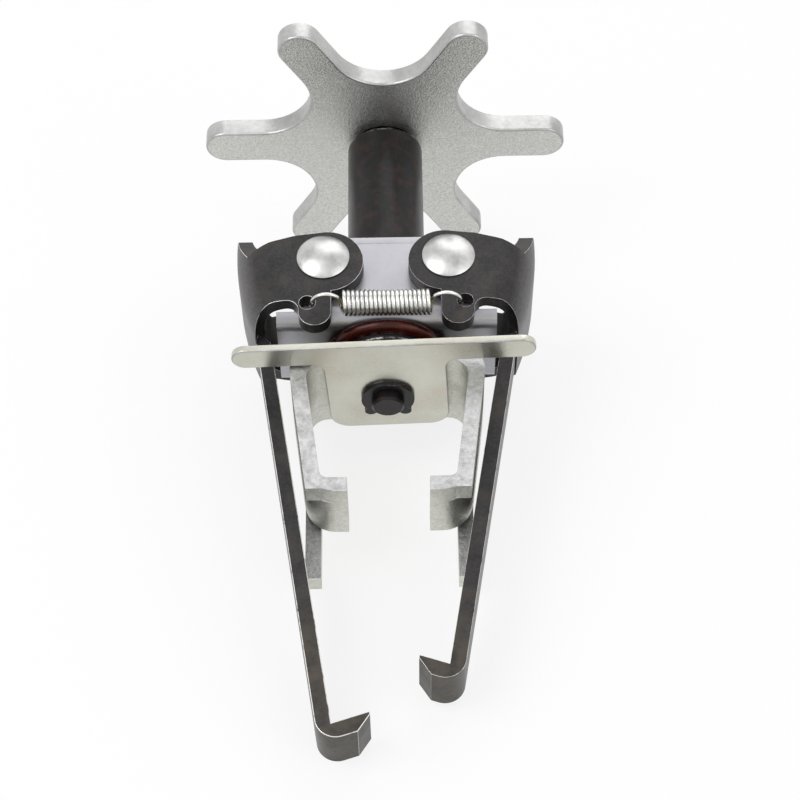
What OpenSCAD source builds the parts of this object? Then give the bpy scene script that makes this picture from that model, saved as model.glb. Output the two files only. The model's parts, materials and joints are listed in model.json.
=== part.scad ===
// Valve spring compressor: a star-headed nut draws a press fork towards two hooked jaws.
// Each piece is drawn in the tool's own frame (Z along the screw, towards the star; X across the
// two jaws; front at -Y; zero at the height of the jaw pivots) and is then laid on its back.

/* [Star handle] */
// Radius from the screw's axis to the tip of an arm
star_reach = 38; // [34:0.5:44]
// Width of one arm
star_arm_w = 8.7; // [7:0.1:10]
// Radius of the valley between two arms
star_valley_r = 10.45; // [9:0.05:11]
// Thickness of the star
star_t = 4.2; // [3:0.1:6]
// Height of the star's lower face above the jaw pivots
star_z = 40.1; // [36:0.1:50]

/* [Sleeve nut and screw] */
// Outside diameter of the sleeve
sleeve_d = 15.6; // [13.5:0.1:16.4]
// Diameter of the spigot that carries the star
spigot_d = 11.6; // [11:0.1:12.5]
// Height of the chamfer under the star
sleeve_chamfer = 1.9; // [1:0.1:3]
// Diameter of the sleeve's flange under the carrier
flange_d = 20.6; // [18:0.2:22]
// Thickness of the sleeve's flange
flange_t = 1.6; // [1.2:0.1:2]
// Outside diameter of the screw
screw_d = 9; // [7.5:0.1:9.5]
// Diameter of the screw's neck through the fork
neck_d = 6.4; // [5.6:0.1:6.8]
// Length of the screw above the fork
screw_l = 46; // [36:0.5:50]
// Length of the screw's end below the clip
stub_l = 1.8; // [1.2:0.1:2.6]

/* [Carrier] */
// Thickness of the carrier's sheet
carrier_t = 2.5; // [2:0.1:2.8]
// Outside depth of the carrier, front face to back face
carrier_depth = 22; // [21.6:0.1:23]
// Width of the carrier's two flanges
carrier_w = 36; // [34:0.2:36.4]
// Width of the carrier's web
web_w = 43; // [42:0.2:43.4]
// Height of the flanges' top edge above the jaw pivots
carrier_top = 5.5; // [5.2:0.1:7]
// Depth of the web's lower face below the jaw pivots
carrier_low = 13.1; // [12.6:0.1:13.4]
// Outside radius of the bends
carrier_bend_r = 3.6; // [3.2:0.1:4]
// Thickness of the guide plate
guide_t = 1.7; // [1.4:0.1:2.2]
// Outside diameter of the thrust ring
ring_d = 24.4; // [23:0.2:24.8]
// Thickness of the thrust ring
ring_t = 2.4; // [2:0.1:2.6]

/* [Jaws] */
// Distance of each jaw pivot from the screw's axis
pivot_x = 12.3; // [12:0.1:12.6]
// Diameter of a pivot rivet
rivet_d = 6; // [5:0.1:6.6]
// Diameter of a rivet's head
rivet_head_d = 10.7; // [9.5:0.1:11.5]
// Height of a rivet's head
rivet_head_h = 1.7; // [1.2:0.1:2.2]
// Thickness of the jaws' sheet
jaw_t = 2.8; // [2.4:0.1:3]
// Width of the left leg
left_leg_w = 10.8; // [9:0.2:11.6]
// Width of the right leg
right_leg_w = 11; // [9:0.2:11.4]
// Distance of a leg's inner face from its pivot
leg_offset = 12.5; // [12.3:0.1:12.8]
// Lean of the left leg
left_lean = 8.6; // [8.4:0.1:9]
// Lean of the right leg
right_lean = 9.8; // [9.4:0.1:10]
// Length of the left leg below its pivot
left_leg_l = 94.1; // [90:0.1:104]
// Length of the right leg below its pivot
right_leg_l = 83; // [76:0.1:90]
// Length of the left hook, from the leg's inner face
left_hook_l = 7; // [6:0.1:7.5]
// Length of the right hook, from the leg's inner face
right_hook_l = 5.6; // [5:0.1:7.5]
// Rise of a hook towards its tip
hook_rise = 9; // [4:0.5:14]
// Length of the bevel under a hook's tip
hook_bevel = 2.6; // [2:0.1:3]
// Outside radius of the bend between a leg and its hook
hook_bend_r = 3.8; // [3.2:0.1:4.2]
// Height of the horn at the top of a jaw's wall above the pivot
horn_h = 8.7; // [8:0.1:10]
// Outside radius of the bend between an ear and the wall
ear_bend_r = 8; // [7.6:0.1:8]
// Distance of the wall's outer face from the pivot, where the wall is widest
wall_out = 17.6; // [17.4:0.1:18]
// Height above the pivot at which the wall is widest
wall_z = 7; // [6:0.5:8]
// Radius of the wall's curve, seen from the front
wall_r = 56; // [54:0.5:60]
// Depth of the wall's lower end below the pivot
wall_low = 15; // [14.6:0.1:16]
// Radius of the ear round its pivot
ear_r = 7.2; // [6.8:0.1:7.4]
// Shift of the ear's round towards the screw
ear_shift = 0.7; // [0.4:0.1:1]
// Drop of the ear's round below the pivot
ear_sag = 0.9; // [0.6:0.1:1.2]
// Distance from the pivot to the shoulder where the ear's top edge starts to fall
shoulder_x = 10.6; // [10:0.1:11]
// Height of that shoulder above the pivot
shoulder_z = 4.1; // [3.6:0.1:4.4]
// Distance from the pivot to the notch beside the horn
notch_x = 15.3; // [15:0.1:15.6]
// Height of that notch above the pivot
notch_z = 2.1; // [1.6:0.1:2.6]
// Length of the horn's top edge, front to back
horn_l = 16; // [12:0.5:18]
// Radius of the lobe under an ear
lobe_r = 3.15; // [3:0.05:3.3]
// Distance of the lobe's centre from the pivot, away from the screw
lobe_shift = 1.55; // [1.4:0.05:1.7]
// Depth of the lobe's centre below the pivot
lobe_drop = 13; // [12.8:0.1:13.4]
// Depth of the arch between lobe and leg below the pivot
arch_drop = 10.2; // [9.8:0.1:10.6]
// Radius of the arch beside the lobe
arch_r = 2.4; // [2:0.1:2.6]
// Radius of the arch beside the leg
arch_leg_r = 3.9; // [3.6:0.1:4.1]
// Diameter of the spring's eye in each front ear
eye_d = 3.2; // [3.1:0.05:3.4]
// Distance of the eye from the pivot, away from the screw
eye_shift = 3; // [2.9:0.05:3.1]
// Depth of the eye below the pivot
eye_drop = 10.8; // [10.7:0.05:10.9]

/* [Tension spring] */
// Outside diameter of the coil
coil_d = 5.2; // [4.8:0.1:5.4]
// Diameter of the wire
wire_d = 0.8; // [0.7:0.05:0.85]
// Number of close turns
coil_turns = 20; // [17:1:21]
// Gap between two turns
turn_gap = 0.05; // [0.03:0.01:0.08]
// Depth of the coil's axis below the jaw pivots
coil_drop = 11.2; // [11.1:0.05:11.3]
// Gap between the coil and the carrier's front
coil_gap = 0.7; // [0.6:0.05:0.8]

/* [Press fork] */
// Thickness of the fork's sheet
fork_t = 3; // [2.6:0.1:3.4]
// Depth of the fork, front to back
fork_depth = 21; // [19:0.5:22]
// Height of the fork's web below the jaw pivots
fork_z = 19; // [18.8:0.1:21]
// Half width across the arms at the web's top face
fork_half_w = 19.4; // [18.6:0.1:19.6]
// Inward lean of an arm
arm_lean = 7.3; // [7.1:0.1:8.5]
// Outside radius of the bend between web and arm
fork_bend_r = 5; // [4:0.1:5.5]
// Distance from the web's top face to the underside of a foot
foot_drop = 32; // [28:0.5:36]
// Gap between the two feet
foot_gap = 15.4; // [13:0.2:16.5]
// Depth of a foot, front to back
foot_depth = 15.4; // [13:0.2:15.8]
// Outside radius of the bend between arm and foot
foot_bend_r = 6; // [5:0.1:6.4]
// Depth of a prong, front to back
prong_depth = 4.4; // [3.5:0.1:4.5]
// Length of a front prong above the foot's underside
front_prong_short = 0.6; // [0.2:0.1:1.5]
// Length of a rear prong below the foot's underside
rear_prong_l = 9.2; // [6:0.2:12]

/* [Wing plate and clip] */
// Thickness of the wing plate
wing_t = 1.5; // [1.2:0.1:1.8]
// Length of the wing plate's bar
wing_l = 58; // [54:0.5:64]
// Depth of the wing plate's bar
wing_bar = 5.6; // [5:0.1:6.4]
// Width of the wing plate's tongue
tongue_w = 23.6; // [20:0.2:24]
// Turn of the wing plate, as it rests against an arm
wing_turn = 2.6; // [1:0.1:3.6]
// Radius of the corners at the tongue's end
tongue_corner_r = 4; // [2:0.1:6]
// Radius of the fillets between tongue and bar
wing_fillet_r = 2.4; // [1:0.1:3]
// Outside diameter of the clip
clip_d = 10.4; // [9.6:0.1:11]
// Thickness of the clip
clip_t = 0.9; // [0.7:0.05:1.1]
// Width of the clip's mouth
clip_mouth = 4.4; // [3.4:0.1:4.6]
// Radius of the lugs beside the clip's mouth
clip_lug_r = 1.2; // [1:0.05:1.4]

/* [Clearances] */
// Radial clearance of parts that turn or slide in a bore
running_fit = 0.1; // [0.08:0.01:0.12]
// Gap between flat faces that move past each other
face_gap = 0.3; // [0.2:0.05:0.4]

/* [Hidden] */
$fn = 96;
eps = 0.01;

star_top = star_z + star_t;
star_tip_r = star_arm_w / 2;
star_tip_x = star_reach - star_tip_r;
ring_top = -carrier_low;
flange_top = ring_top - ring_t;
flange_low = flange_top - flange_t;
half_depth = carrier_depth / 2;
ear_in = half_depth + face_gap;
ear_out = ear_in + jaw_t;
head_seat = ear_out + face_gap / 2;
bore_top = star_z - 5;

fork_top = -fork_z;
wing_top = fork_top - fork_t;
wing_low = wing_top - wing_t;
clip_low = wing_low - clip_t;
groove_d = neck_d - 1.4;
foot_low = fork_top - foot_drop;
fork_back = fork_depth / 2;
wing_bar_back = fork_back + fork_half_w * tan(wing_turn) + face_gap;

coil_y = -half_depth - coil_d / 2 - coil_gap;
coil_z = -coil_drop;
coil_pitch = wire_d + turn_gap;
coil_l = coil_turns * coil_pitch + wire_d;
eye = [-eye_shift, -eye_drop];
hook_x = pivot_x + eye_shift - eye_d / 4;
ear_c = [ear_shift, -ear_sag];
lobe_c = [-lobe_shift, -lobe_drop];

// The tool lies on its back, on the rear arms of the star and the back of the left hook.
hook_low_z = -(left_leg_l + jaw_t - hook_bend_r) * cos(left_lean)
    - (leg_offset + jaw_t - hook_bend_r) * sin(left_lean) - hook_bend_r;
star_rear_y = star_tip_x * sin(60) + star_tip_r;
lay_tilt = atan((star_rear_y - left_leg_w / 2) / (star_z - hook_low_z));
lay_far = star_rear_y * sin(lay_tilt) + star_top * cos(lay_tilt);
lay_near = -left_leg_w / 2 * sin(lay_tilt) + hook_low_z * cos(lay_tilt);
lay_drop = -star_rear_y * cos(lay_tilt) + star_z * sin(lay_tilt);

// Points on an arc from one angle to another
function arc(centre, r, from, to, steps = 10) =
    [for (i = [0 : steps]) let (a = from + (to - from) * i / steps) centre + r * [cos(a), sin(a)]];

// Lays a piece on its back, with the part's box centred over the origin
module lay() {
    translate([0, -(lay_far + lay_near) / 2, -lay_drop])
        rotate([lay_tilt - 90, 0, 0])
            children();
}

// Extrudes an outline drawn in X and Z between two depths
module front_extrude(from, to) {
    translate([0, to, 0])
        rotate([90, 0, 0])
            linear_extrude(to - from)
                children();
}

// A rectangle between two corners
module slab(low, high) {
    translate(low)
        square(high - low);
}

// Outline of the star: for each arm its round tip, then the valley that runs on to the next arm
module star_outline() {
    valley_x = (star_tip_r + star_valley_r) / sin(30);
    sector = concat(
        arc([star_tip_x, 0], star_tip_r, -90, 90, 18),
        arc(valley_x * [cos(30), sin(30)], star_valley_r, 270, 150, 15)
    );
    polygon([for (a = [0 : 60 : 300], p = sector)
        [p.x * cos(a) - p.y * sin(a), p.x * sin(a) + p.y * cos(a)]]);
}

module star_handle() {
    color("gainsboro")
        lay()
            translate([0, 0, star_z])
                linear_extrude(star_t)
                    difference() {
                        star_outline();
                        circle(d = spigot_d + 2 * running_fit);
                    }
}

module sleeve_nut() {
    r = sleeve_d / 2;
    profile = [
        [screw_d / 2 + running_fit, flange_low], [flange_d / 2 - 0.4, flange_low],
        [flange_d / 2, flange_low + 0.4], [flange_d / 2, flange_top], [r, flange_top],
        [r, star_z - sleeve_chamfer], [spigot_d / 2, star_z], [spigot_d / 2, star_top],
        [0, star_top], [0, bore_top], [screw_d / 2 + running_fit, bore_top]
    ];
    color("dimgray")
        lay()
            rotate_extrude()
                polygon(profile);
}

module press_screw() {
    neck_r = neck_d / 2;
    groove_r = groove_d / 2;
    end_z = clip_low - stub_l;
    top_z = fork_top + screw_l;
    profile = [
        [0, end_z], [neck_r - 0.5, end_z], [neck_r, end_z + 0.5], [neck_r, clip_low],
        [groove_r, clip_low], [groove_r, wing_low], [neck_r, wing_low], [neck_r, fork_top],
        [screw_d / 2, fork_top], [screw_d / 2, top_z - 1], [screw_d / 2 - 1, top_z], [0, top_z]
    ];
    color("dimgray")
        lay()
            rotate_extrude()
                polygon(profile);
}

// Cross-section of the carrier: two flanges joined by a web, with round bends
module carrier_section() {
    inner_r = carrier_bend_r - carrier_t;
    low = -carrier_low;
    c = [half_depth - carrier_bend_r, low + carrier_bend_r];
    polygon(concat(
        [[-half_depth, carrier_top]],
        arc([-c.x, c.y], carrier_bend_r, 180, 270),
        arc(c, carrier_bend_r, 270, 360),
        [[half_depth, carrier_top], [half_depth - carrier_t, carrier_top]],
        arc(c, inner_r, 360, 270),
        arc([-c.x, c.y], inner_r, 270, 180),
        [[carrier_t - half_depth, carrier_top]]
    ));
}

module carrier_bracket() {
    web_top = carrier_t - carrier_low;
    notch_w = (web_w - carrier_w) / 2 + eps;
    color("lightsteelblue")
        lay()
            difference() {
                rotate([90, 0, 90])
                    translate([0, 0, -web_w / 2])
                        linear_extrude(web_w)
                            carrier_section();
                for (side = [-1, 1]) {
                    translate([side * (carrier_w / 2 + notch_w / 2) - notch_w / 2, -half_depth - eps, web_top])
                        cube([notch_w, carrier_depth + 2 * eps, carrier_top - web_top + eps]);
                    translate([side * pivot_x, half_depth + eps, 0])
                        rotate([90, 0, 0])
                            cylinder(h = carrier_depth + 2 * eps, d = rivet_d + 2 * running_fit);
                }
                translate([0, 0, -carrier_low - eps])
                    cylinder(h = carrier_bend_r + eps, d = sleeve_d + 2 * running_fit);
            }
}

module top_guide_plate() {
    corner = 2.5;
    color("silver")
        lay()
            translate([0, 0, carrier_top])
                linear_extrude(guide_t)
                    difference() {
                        union() {
                            slab([corner - carrier_w / 2, -half_depth], [carrier_w / 2 - corner, half_depth]);
                            slab([-carrier_w / 2, corner - half_depth], [carrier_w / 2, half_depth - corner]);
                            for (x = [-1, 1], y = [-1, 1])
                                translate([x * (carrier_w / 2 - corner), y * (half_depth - corner)])
                                    circle(corner);
                        }
                        circle(d = sleeve_d + 2 * running_fit);
                    }
}

module thrust_ring() {
    round_r = ring_t / 2;
    color("saddlebrown")
        lay()
            rotate_extrude()
                translate([0, ring_top - ring_t])
                    difference() {
                        union() {
                            slab([sleeve_d / 2 + running_fit, 0], [ring_d / 2 - round_r, ring_t]);
                            translate([ring_d / 2 - round_r, round_r])
                                circle(round_r);
                        }
                        slab([-ring_d, -ring_d], [sleeve_d / 2 + running_fit, ring_d]);
                    }
}

// Cut-out between a left jaw's lobe and its leg: a round on each side of an open slot
module arch_outline() {
    top = -arch_drop;
    lobe_side = [lobe_c.x - lobe_r - arch_r, top - arch_r];
    leg_side = [lobe_side.x - arch_r, top - arch_leg_r];
    low = -wall_low - arch_leg_r;
    translate(lobe_side)
        circle(arch_r);
    translate(leg_side)
        circle(arch_leg_r);
    slab([leg_side.x, low], [lobe_side.x, top]);
    slab([leg_side.x - arch_leg_r, low], [leg_side.x, leg_side.y]);
    slab([lobe_side.x, low], [lobe_side.x + arch_r, lobe_side.y]);
}

// Front view of a left ear about its pivot, out past the wall
module ear_outline() {
    far_x = -wall_out - 1;
    neck = [lobe_c.x + lobe_r, ear_c.y - ear_r];
    neck_angle = -50;
    difference() {
        union() {
            translate(ear_c)
                circle(ear_r);
            polygon([ear_c + [0, ear_r], [-shoulder_x / 2, ear_c.y + ear_r - ear_shift],
                [-shoulder_x, shoulder_z], [-notch_x, notch_z], [far_x, notch_z], [far_x, -wall_low],
                [-shoulder_x, -wall_low], [lobe_c.x - lobe_r, lobe_c.y], [lobe_c.x + lobe_r, lobe_c.y],
                neck, ear_c + ear_r * [cos(neck_angle), sin(neck_angle)]]);
            translate(lobe_c)
                circle(lobe_r);
        }
        arch_outline();
    }
}

// Side view of the horn on a jaw's wall: it starts at the notches in both bends and narrows upward
module horn_outline() {
    bend_x = wall_out - ear_bend_r;
    foot = ear_out - ear_bend_r + sqrt(pow(ear_bend_r, 2) - pow(notch_x - bend_x, 2));
    polygon([[-foot, -notch_z], [foot, -notch_z], [foot, notch_z], [horn_l / 2, horn_h],
        [-horn_l / 2, horn_h], [-foot, notch_z]]);
}

// Section of a left jaw's top across its height: front ear, wall and back ear, with round bends.
// X is the distance from the centre of the wall's curve.
module jaw_plan() {
    in_r = ear_bend_r - jaw_t;
    c = [wall_r - ear_bend_r, ear_out - ear_bend_r];
    reach = wall_r - wall_out - pivot_x;
    polygon(concat(
        [[reach, ear_in], [reach, ear_out]],
        arc(c, ear_bend_r, 90, 0),
        arc([c.x, -c.y], ear_bend_r, 0, -90),
        [[reach, -ear_out], [reach, -ear_in]],
        arc([c.x, -c.y], in_r, -90, 0),
        arc(c, in_r, 0, 90)
    ));
}

// Side view of a left leg and its hook, upright, with the pivot at zero
module leg_outline(leg_l, hook_l) {
    in_x = -leg_offset;
    out_x = in_x - jaw_t;
    joint_z = jaw_t - wall_low;
    c = [out_x, -leg_l - jaw_t] + hook_bend_r * [1, 1];
    under = c + hook_bend_r * [sin(hook_rise), -cos(hook_rise)];
    tip = [in_x + hook_l, -leg_l + hook_l * tan(hook_rise)];
    tip_t = jaw_t / 5;
    bevel_x = tip.x - hook_bevel;
    bevel = [bevel_x, under.y + (bevel_x - under.x) * tan(hook_rise)];
    polygon(concat(
        [[in_x, joint_z], [out_x, joint_z + jaw_t]],
        arc(c, hook_bend_r, 180, 270 + hook_rise, 12),
        [bevel, [tip.x, tip.y - tip_t], tip, [in_x, -leg_l]]
    ));
}

// A left jaw about its pivot: ears, wall and horn as folded sheet, then the leg and its hook
module jaw(lean, leg_l, leg_w, hook_l) {
    difference() {
        union() {
            intersection() {
                translate([wall_r - wall_out, 0, wall_z])
                    rotate([90, 0, 0])
                        rotate_extrude($fn = 360)
                            jaw_plan();
                union() {
                    front_extrude(-ear_out - 1, ear_out + 1)
                        ear_outline();
                    translate([-wall_out - 1, 0, 0])
                        rotate([90, 0, 90])
                            linear_extrude(ear_bend_r)
                                horn_outline();
                }
            }
            rotate([0, -lean, 0])
                front_extrude(-leg_w / 2, leg_w / 2)
                    leg_outline(leg_l, hook_l);
        }
        translate([0, ear_out + eps, 0])
            rotate([90, 0, 0])
                cylinder(h = 2 * (ear_out + eps), d = rivet_d + 2 * running_fit);
        translate([eye.x, -ear_in + eps, eye.y])
            rotate([90, 0, 0])
                cylinder(h = jaw_t + 2 * eps, d = eye_d);
    }
}

module left_jaw() {
    color("darkslategray")
        lay()
            translate([-pivot_x, 0, 0])
                jaw(left_lean, left_leg_l, left_leg_w, left_hook_l);
}

module right_jaw() {
    color("darkslategray")
        lay()
            mirror([1, 0, 0])
                translate([-pivot_x, 0, 0])
                    jaw(right_lean, right_leg_l, right_leg_w, right_hook_l);
}

// A pivot rivet with a low domed head at each end
module pivot_rivet(side) {
    head_r = rivet_head_d / 2;
    dome_r = (head_r * head_r + rivet_head_h * rivet_head_h) / (2 * rivet_head_h);
    lay()
        translate([side * pivot_x, 0, 0])
            rotate([90, 0, 0]) {
                translate([0, 0, -head_seat - eps])
                    cylinder(h = 2 * (head_seat + eps), d = rivet_d);
                for (end = [0, 1])
                    mirror([0, 0, end])
                        translate([0, 0, head_seat])
                            rotate_extrude()
                                intersection() {
                                    translate([0, rivet_head_h - dome_r])
                                        circle(dome_r, $fn = 180);
                                    slab([0, 0], [head_r, rivet_head_h + 1]);
                                }
            }
}

module left_pivot_rivet() {
    color("silver")
        pivot_rivet(-1);
}

module right_pivot_rivet() {
    color("silver")
        pivot_rivet(1);
}

// A round wire along a path: each ring of points is carried on from the one before it
module wire(path, sides = 6) {
    last = len(path) - 1;
    function unit(v) = v / norm(v);
    heads = [for (i = [0 : last]) unit(path[min(i + 1, last)] - path[max(i - 1, 0)])];
    first_side = unit(cross(heads[0], [0.3, 0.5, 0.8]));
    across = [for (i = 0, n = first_side; i <= last; i = i + 1,
        n = i <= last ? unit(n - (n * heads[i]) * heads[i]) : n) n];
    points = [for (i = [0 : last], j = [0 : sides - 1])
        let (a = 360 * j / sides, up = cross(heads[i], across[i]))
        path[i] + wire_d / 2 * (cos(a) * across[i] + sin(a) * up)];
    walls = [for (i = [0 : last - 1], j = [0 : sides - 1])
        let (n = (j + 1) % sides)
        [i * sides + j, i * sides + n, (i + 1) * sides + n, (i + 1) * sides + j]];
    first_cap = [for (j = [sides - 1 : -1 : 0]) j];
    last_cap = [for (j = [0 : sides - 1]) last * sides + j];
    faces = concat(walls, [first_cap, last_cap]);
    polyhedron(points, [for (f = faces) [for (k = [len(f) - 1 : -1 : 0]) f[k]]]);
}

// Path of the spring about X: a hook, a close coil that ends where it began, and a second hook
function spring_path() =
    let (turn_steps = 12, hook_steps = 12, hook_sweep = 195, end_angle = 0)
    let (r = (coil_d - wire_d) / 2, hook_from = (coil_l - wire_d) / 2 + wire_d / 4)
    let (hook_r = (hook_x - hook_from) / 2, spoke = [0, cos(end_angle), sin(end_angle)])
    let (hook = [for (i = [0 : hook_steps])
        let (a = hook_sweep * i / hook_steps)
        [hook_from + hook_r * (1 - cos(a)), 0, 0] - hook_r * sin(a) * spoke])
    let (coil = [for (i = [0 : coil_turns * turn_steps])
        let (a = end_angle + 360 * i / turn_steps)
        [coil_pitch * (i / turn_steps - coil_turns / 2), r * cos(a), r * sin(a)]])
    let (half_spoke = [hook_from, 0, 0] + r / 2 * spoke)
    concat(
        [for (i = [hook_steps : -1 : 0]) [-hook[i].x, hook[i].y, hook[i].z]],
        [[-half_spoke.x, half_spoke.y, half_spoke.z]],
        coil,
        [half_spoke],
        hook
    );

module tension_spring() {
    color("whitesmoke")
        lay()
            translate([0, coil_y, coil_z])
                wire(spring_path());
}

// Where an arm's face crosses a height; inset is the depth of that face under the arm's outer face
function arm_at(z, inset = 0) = fork_half_w - inset / cos(arm_lean) - (fork_top - z) * tan(arm_lean);

// Centre of a bend that is tangent to an arm's outer face, at a height
function arm_bend(r, z) = [arm_at(z, r), z];

// Section of the fork at one depth: web, bends and arms, with both arms ending in the same right-hand end
module fork_section(arm_end) {
    c = arm_bend(fork_bend_r, fork_top - fork_bend_r);
    right = concat(
        arc(c, fork_bend_r, 90, -arm_lean),
        arm_end,
        arc(c, fork_bend_r - fork_t, -arm_lean, 90)
    );
    left = [for (i = [len(right) - 1 : -1 : 0]) [-right[i].x, right[i].y]];
    polygon(concat(right, left));
}

// An arm's end that is cut square at a height
function square_end(z) = [[arm_at(z), z], [arm_at(z, fork_t), z]];

// The rest of a foot, from its underside to the top of its bend, in a right arm's end
function foot_top() =
    let (c = arm_bend(foot_bend_r, foot_low + foot_bend_r))
    concat(
        [[foot_gap / 2, foot_low], [foot_gap / 2, foot_low + fork_t]],
        arc(c, foot_bend_r - fork_t, -90, -arm_lean)
    );

// An arm's end that is bent inward to a foot
function bent_end() =
    concat(arc(arm_bend(foot_bend_r, foot_low + foot_bend_r), foot_bend_r, -arm_lean, -90), foot_top());

// An arm's end with a prong that hangs straight down from the height of the foot's bend
function long_end() =
    let (z = foot_low + foot_bend_r, low = foot_low - rear_prong_l)
    [[arm_at(z), z], [arm_at(z), low], [arm_at(z, fork_t), low], [arm_at(z, fork_t), z]];

// An arm's end with a short prong beside the foot, so that the corner is square
function prong_end() =
    let (z = foot_low + front_prong_short, c = arm_bend(foot_bend_r, foot_low + foot_bend_r))
    concat(square_end(z), [[c.x, foot_low]], foot_top());

module press_fork() {
    foot_back = foot_depth - fork_back;
    color("gainsboro")
        lay()
            difference() {
                union() {
                    front_extrude(-fork_back, prong_depth - fork_back)
                        fork_section(prong_end());
                    front_extrude(prong_depth - fork_back, foot_back)
                        fork_section(bent_end());
                    front_extrude(foot_back, fork_back - prong_depth)
                        fork_section(square_end(foot_low + foot_bend_r));
                    front_extrude(fork_back - prong_depth, fork_back)
                        fork_section(long_end());
                }
                translate([0, 0, wing_top - eps])
                    cylinder(h = fork_t + 2 * eps, d = neck_d + 2 * running_fit);
            }
}

module wing_outline() {
    bar_r = wing_bar / 2;
    bar_y = -wing_bar_back - bar_r;
    corner = tongue_corner_r;
    half_w = tongue_w / 2;
    round_x = wing_l / 2 - bar_r;
    slab([-round_x, bar_y - bar_r], [round_x, bar_y + bar_r]);
    slab([-half_w, bar_y], [half_w, fork_back - corner]);
    slab([corner - half_w, 0], [half_w - corner, fork_back]);
    for (side = [-1, 1]) {
        translate([side * round_x, bar_y])
            circle(bar_r);
        translate([side * (half_w - corner), fork_back - corner])
            circle(corner);
        translate([side * half_w, bar_y + bar_r])
            difference() {
                slab([-wing_fillet_r, -bar_r], [wing_fillet_r, wing_fillet_r]);
                translate([side * wing_fillet_r, wing_fillet_r])
                    circle(wing_fillet_r);
            }
    }
}

module wing_plate() {
    color("silver")
        lay()
            rotate([0, 0, -wing_turn])
                translate([0, 0, wing_low])
                    linear_extrude(wing_t)
                        difference() {
                            wing_outline();
                            circle(d = neck_d + 2 * running_fit);
                        }
}

module retaining_clip() {
    lug_x = clip_mouth / 2 + clip_lug_r;
    lug_y = sqrt(pow(clip_d / 2, 2) - pow(lug_x, 2));
    color("dimgray")
        lay()
            translate([0, 0, clip_low])
                linear_extrude(clip_t)
                    difference() {
                        union() {
                            circle(d = clip_d);
                            for (side = [-1, 1])
                                translate([side * lug_x, lug_y])
                                    circle(clip_lug_r);
                        }
                        circle(d = groove_d + 2 * running_fit);
                        slab([-clip_mouth / 2, 0], [clip_mouth / 2, clip_d]);
                    }
}

star_handle();
sleeve_nut();
press_screw();
carrier_bracket();
top_guide_plate();
thrust_ring();
left_jaw();
right_jaw();
left_pivot_rivet();
right_pivot_rivet();
tension_spring();
press_fork();
wing_plate();
retaining_clip();
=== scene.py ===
"""Looks of a valve spring compressor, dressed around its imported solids, in metres."""

from __future__ import annotations

import json
import logging
import math
from dataclasses import dataclass, field, replace
from enum import Enum
from typing import Callable, Iterable, Optional, Sequence

import bmesh
import bpy
from mathutils import Matrix, Vector

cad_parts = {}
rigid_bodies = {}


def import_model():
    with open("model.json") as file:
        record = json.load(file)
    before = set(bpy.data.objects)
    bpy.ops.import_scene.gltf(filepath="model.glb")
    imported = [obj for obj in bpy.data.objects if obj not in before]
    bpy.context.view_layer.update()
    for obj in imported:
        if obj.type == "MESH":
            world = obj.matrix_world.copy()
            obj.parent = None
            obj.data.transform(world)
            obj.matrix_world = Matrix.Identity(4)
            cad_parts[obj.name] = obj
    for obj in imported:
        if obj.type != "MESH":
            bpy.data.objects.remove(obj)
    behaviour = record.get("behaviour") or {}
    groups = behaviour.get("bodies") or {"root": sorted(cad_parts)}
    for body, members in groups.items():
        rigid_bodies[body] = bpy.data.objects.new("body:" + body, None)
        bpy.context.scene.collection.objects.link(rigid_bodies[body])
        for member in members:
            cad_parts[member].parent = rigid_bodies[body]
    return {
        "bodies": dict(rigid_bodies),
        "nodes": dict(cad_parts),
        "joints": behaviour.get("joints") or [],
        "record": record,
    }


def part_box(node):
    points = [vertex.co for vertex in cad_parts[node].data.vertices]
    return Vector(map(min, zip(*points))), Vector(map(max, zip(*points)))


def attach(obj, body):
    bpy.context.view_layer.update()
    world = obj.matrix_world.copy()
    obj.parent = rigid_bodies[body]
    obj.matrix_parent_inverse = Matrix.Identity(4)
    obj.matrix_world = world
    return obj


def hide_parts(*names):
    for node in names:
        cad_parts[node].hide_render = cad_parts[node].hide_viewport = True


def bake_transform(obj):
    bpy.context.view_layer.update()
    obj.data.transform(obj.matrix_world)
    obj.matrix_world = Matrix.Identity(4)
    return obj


LOG = logging.getLogger("valve_spring_compressor")
MM = 0.001
MERGE_GAP = 0.001 * MM
FLAT_ANGLE = math.radians(0.4)
SHARP_ANGLE = math.radians(32.0)
NORMAL_WEIGHT = 80
NOISE_SPAN = (0.36, 0.64)
STAIN_SPAN = (0.5, 0.7)
GLOSS_SPAN = (0.3, 0.7)
BRUSH_STRETCH = (1.0, 0.12, 1.0)

Colour = tuple[float, float, float]
Socket = bpy.types.NodeSocket


class Side(Enum):
    """The two sides of the tool, as a sign along X."""

    LEFT = -1
    RIGHT = 1

    @property
    def word(self) -> str:
        """The side's name in lower case."""
        return self.name.lower()


class Grain(Enum):
    """How a surface's fine texture runs."""

    EVEN = "even"
    BRUSHED = "brushed"


@dataclass(frozen=True)
class Stain:
    """Soft patches of a third tone: its colour, patches per metre and how far they cover."""

    tone: Colour
    scale: float
    cover: float


@dataclass(frozen=True)
class Rub:
    """Places of a jaw coloured apart: painted light on the flank that looks outward along X, and a worn tint
    on the hooked end along Y.

    The flank's painted light begins where a face's normal reaches the given share of X; it stands in for
    the light that falls on that side. The end's worn tone comes in between two places along Y and is
    mottled.
    """

    flank: Colour
    tip: Colour
    outward: int = 1
    flank_from: float = 0.55
    flank_least: float = 0.45
    tip_span: tuple[float, float] = (-40 * MM, -60 * MM)
    tip_cover: float = 0.9
    tip_least: float = 0.2
    mottle_scale: float = 300
    mottle_span: tuple[float, float] = (0.34, 0.6)


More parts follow.
